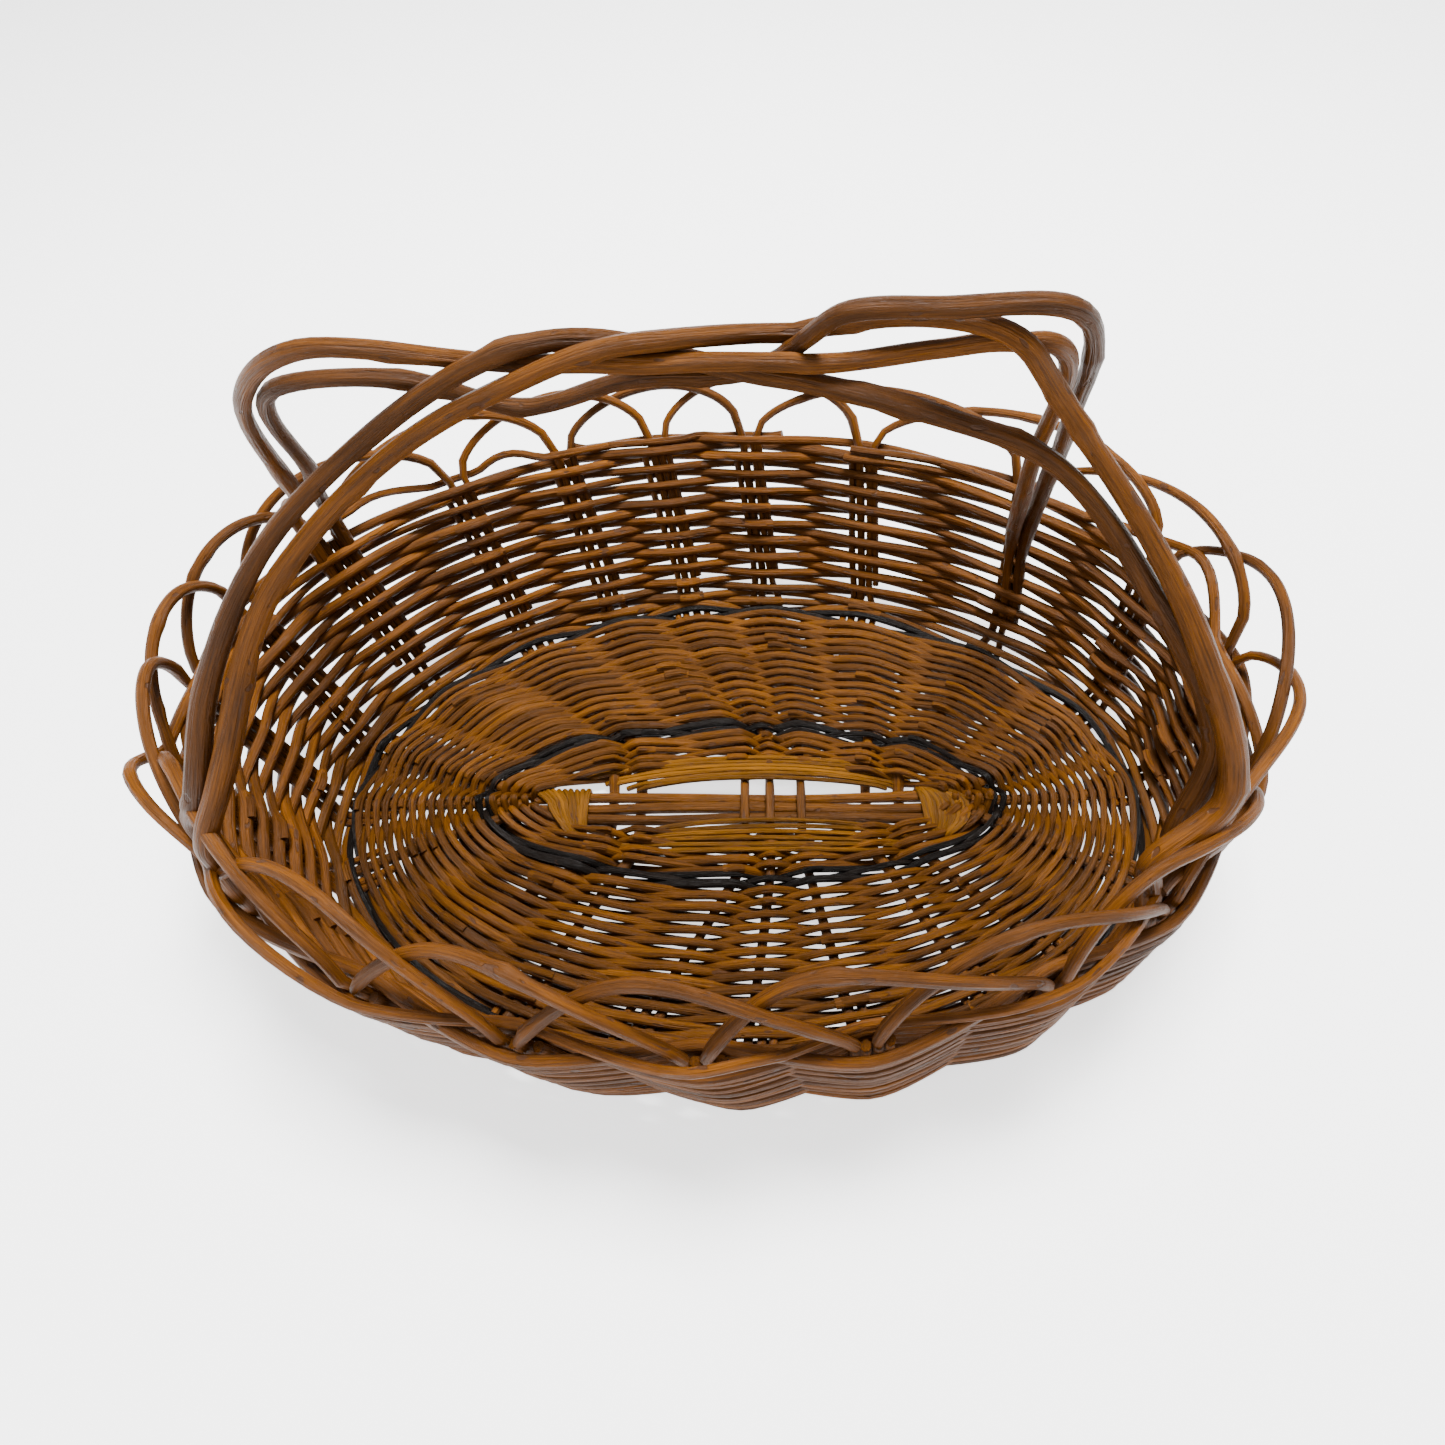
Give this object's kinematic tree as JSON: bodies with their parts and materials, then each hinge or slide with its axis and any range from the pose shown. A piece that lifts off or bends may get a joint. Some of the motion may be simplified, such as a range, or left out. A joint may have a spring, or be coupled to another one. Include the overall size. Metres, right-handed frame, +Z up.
{
  "type": "wicker basket",
  "caption": "Oval open willow basket with a flared woven wall, an open arched border and a fixed plaited double hoop handle over the top.",
  "frame": {"origin": "middle of the basket's box, on the surface that it stands on", "axes": "+X along the longer side, +Y across it, +Z up"},
  "size_m": [0.47, 0.3387, 0.2617],
  "materials": {
    "base_willow": "semi-gloss, honey brown",
    "golden_willow": "semi-gloss, golden",
    "wall_willow": "semi-gloss, russet brown",
    "handle_willow": "semi-gloss, red-brown",
    "dark_willow": "satin, dyed black-brown"
  },
  "bodies": {
    "root": {"core_packing_back": "golden_willow", "core_packing_front": "golden_willow", "core_wrap_left": "golden_willow", "core_wrap_right": "golden_willow", "cross_stick_1": "base_willow", "cross_stick_2": "base_willow", "cross_stick_3": "base_willow", "cross_stick_4": "base_willow", "cross_stick_5": "base_willow", "cross_stick_6": "base_willow", "cross_stick_7": "base_willow", "handle_rod_back_lower": "handle_willow", "handle_rod_back_upper": "handle_willow", "handle_rod_front_inner": "handle_willow", "handle_rod_front_outer": "handle_willow", "inner_base_weave": "base_willow", "inner_dark_ring": "dark_willow", "long_stick_back": "base_willow", "long_stick_front": "base_willow", "long_stick_middle": "base_willow", "outer_base_weave": "base_willow", "outer_dark_ring": "dark_willow", "stake_01": "wall_willow", "stake_02": "wall_willow", "stake_03": "wall_willow", "stake_04": "wall_willow", "stake_05": "wall_willow", "stake_06": "wall_willow", "stake_07": "wall_willow", "stake_08": "wall_willow", "stake_09": "wall_willow", "stake_10": "wall_willow", "stake_11": "wall_willow", "stake_12": "wall_willow", "stake_13": "wall_willow", "stake_14": "wall_willow", "stake_15": "wall_willow", "stake_16": "wall_willow", "stake_17": "wall_willow", "stake_18": "wall_willow", "stake_19": "wall_willow", "stake_20": "wall_willow", "wall_weave_foot": "base_willow", "wall_weave_lower": "base_willow", "wall_weave_middle": "wall_willow", "wall_weave_top": "wall_willow", "wall_weave_upper": "wall_willow"}
  },
  "joints": []
}
